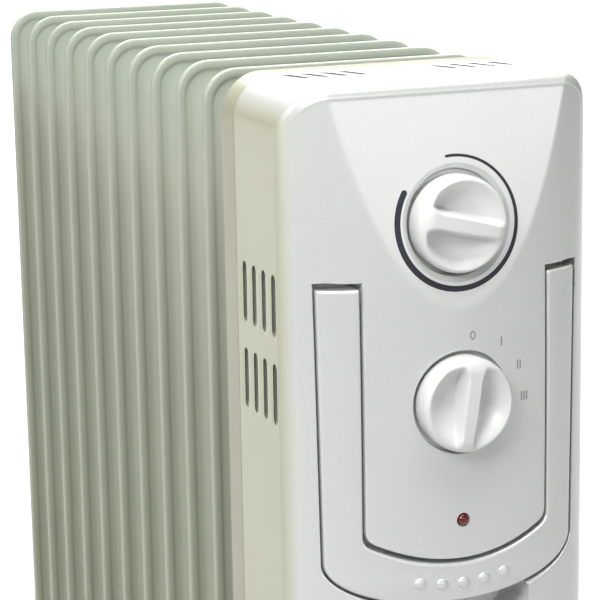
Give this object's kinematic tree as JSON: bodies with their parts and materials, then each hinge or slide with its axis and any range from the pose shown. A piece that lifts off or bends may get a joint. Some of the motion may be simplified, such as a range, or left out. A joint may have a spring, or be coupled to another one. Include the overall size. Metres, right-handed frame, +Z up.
{
  "type": "oil filled radiator heater",
  "caption": "Free-standing oil filled radiator heater: a row of hollow fins on swivel casters, with a curved control housing, two knobs and a fold-out pull handle at one end.",
  "frame": {"origin": "centre of the bounding box, at floor level", "axes": "+Z up, the control panel faces -Y, the fins run back along +Y, +X is to the right seen from the front"},
  "size_m": [0.246, 0.4978, 0.638],
  "materials": {
    "fin_paint": "satin light grey-green enamel",
    "frame_plastic": "light warm grey",
    "cover_plastic": "light silver grey, semi-gloss",
    "knob_plastic": "off-white, semi-gloss",
    "bright_steel": "zinc plated",
    "zinc_plate": "galvanised sheet",
    "foot_steel": "dark grey enamel",
    "caster_steel": "zinc plated",
    "dark_plastic": "black",
    "red_lens": "dark red, clear",
    "neon_glass": "clear, faint orange",
    "brass": "turned",
    "gasket_fibre": "pressed fibre",
    "element_sheath": "heat-darkened sheath",
    "phenolic": "dark brown",
    "nylon": "cream",
    "grey_plastic": "mid grey",
    "ceramic": "fired ceramic, cream",
    "wire_live": "brown insulation",
    "wire_neutral": "blue insulation",
    "wire_earth": "green insulation"
  },
  "bodies": {
    "heater": {"fin_01": "fin_paint", "fin_02": "fin_paint", "fin_03": "fin_paint", "fin_04": "fin_paint", "fin_05": "fin_paint", "fin_06": "fin_paint", "fin_07": "fin_paint", "fin_08": "fin_paint", "fin_09": "fin_paint", "fin_10": "fin_paint", "fin_11": "fin_paint", "element_flange": "brass", "element_gasket": "gasket_fibre", "element_low": "element_sheath", "element_high": "element_sheath", "oil_filler_plug": "bright_steel", "rear_frame": "frame_plastic", "mounting_plate": "zinc_plate", "front_cover": "cover_plastic", "control_bracket": "zinc_plate", "thermostat_body": "phenolic", "rotary_switch_body": "dark_plastic", "indicator_lens": "red_lens", "pilot_lamp": "neon_glass", "terminal_block": "nylon", "tilt_switch": "grey_plastic", "thermal_cutout": "ceramic", "cord_gland": "dark_plastic", "wire_live": "wire_live", "wire_neutral": "wire_neutral", "wire_earth": "wire_earth", "cover_screw_left": "bright_steel", "cover_screw_right": "bright_steel", "handle_pin_left": "bright_steel", "handle_pin_right": "bright_steel", "foot_plate_front": "foot_steel", "u_bolt_front": "bright_steel", "foot_plate_rear": "foot_steel", "u_bolt_rear": "bright_steel", "wing_nut_front_left": "bright_steel", "wing_nut_front_right": "bright_steel", "wing_nut_rear_left": "bright_steel", "wing_nut_rear_right": "bright_steel"},
    "thermostat": {"thermostat_knob": "knob_plastic", "thermostat_shaft": "bright_steel"},
    "power": {"power_knob": "knob_plastic", "switch_shaft": "bright_steel"},
    "handle": {"pull_handle": "cover_plastic"},
    "caster_front_left": {"caster_fork_front_left": "caster_steel", "caster_axle_front_left": "bright_steel"},
    "wheel_front_left": {"caster_wheel_front_left": "dark_plastic"},
    "caster_front_right": {"caster_fork_front_right": "caster_steel", "caster_axle_front_right": "bright_steel"},
    "wheel_front_right": {"caster_wheel_front_right": "dark_plastic"},
    "caster_rear_left": {"caster_fork_rear_left": "caster_steel", "caster_axle_rear_left": "bright_steel"},
    "wheel_rear_left": {"caster_wheel_rear_left": "dark_plastic"},
    "caster_rear_right": {"caster_fork_rear_right": "caster_steel", "caster_axle_rear_right": "bright_steel"},
    "wheel_rear_right": {"caster_wheel_rear_right": "dark_plastic"}
  },
  "joints": [
    {"name": "thermostat_turn", "type": "hinge", "parent": "heater", "child": "thermostat", "pos_m": [0, -0.22859, 0.5757], "axis": [0, 1, 0], "range_deg": [-292, 20]},
    {"name": "power_turn", "type": "hinge", "parent": "heater", "child": "power", "pos_m": [0, -0.23438, 0.4945], "axis": [0, 1, 0], "range_deg": [0, 84]},
    {"name": "handle_swing", "type": "hinge", "parent": "heater", "child": "handle", "pos_m": [0, -0.22492, 0.5447], "axis": [-1, 0, 0], "range_deg": [0, 95]},
    {"name": "caster_swivel_front_left", "type": "hinge", "parent": "heater", "child": "caster_front_left", "pos_m": [-0.105, -0.13052, 0.0385], "axis": [0, 0, 1], "continuous": true},
    {"name": "wheel_spin_front_left", "type": "hinge", "parent": "caster_front_left", "child": "wheel_front_left", "pos_m": [-0.105, -0.12152, 0.0175], "axis": [1, 0, 0], "continuous": true},
    {"name": "caster_swivel_front_right", "type": "hinge", "parent": "heater", "child": "caster_front_right", "pos_m": [0.105, -0.13052, 0.0385], "axis": [0, 0, 1], "continuous": true},
    {"name": "wheel_spin_front_right", "type": "hinge", "parent": "caster_front_right", "child": "wheel_front_right", "pos_m": [0.105, -0.12152, 0.0175], "axis": [1, 0, 0], "continuous": true},
    {"name": "caster_swivel_rear_left", "type": "hinge", "parent": "heater", "child": "caster_rear_left", "pos_m": [-0.105, 0.21328, 0.0385], "axis": [0, 0, 1], "continuous": true},
    {"name": "wheel_spin_rear_left", "type": "hinge", "parent": "caster_rear_left", "child": "wheel_rear_left", "pos_m": [-0.105, 0.22228, 0.0175], "axis": [1, 0, 0], "continuous": true},
    {"name": "caster_swivel_rear_right", "type": "hinge", "parent": "heater", "child": "caster_rear_right", "pos_m": [0.105, 0.21328, 0.0385], "axis": [0, 0, 1], "continuous": true},
    {"name": "wheel_spin_rear_right", "type": "hinge", "parent": "caster_rear_right", "child": "wheel_rear_right", "pos_m": [0.105, 0.22228, 0.0175], "axis": [1, 0, 0], "continuous": true}
  ]
}
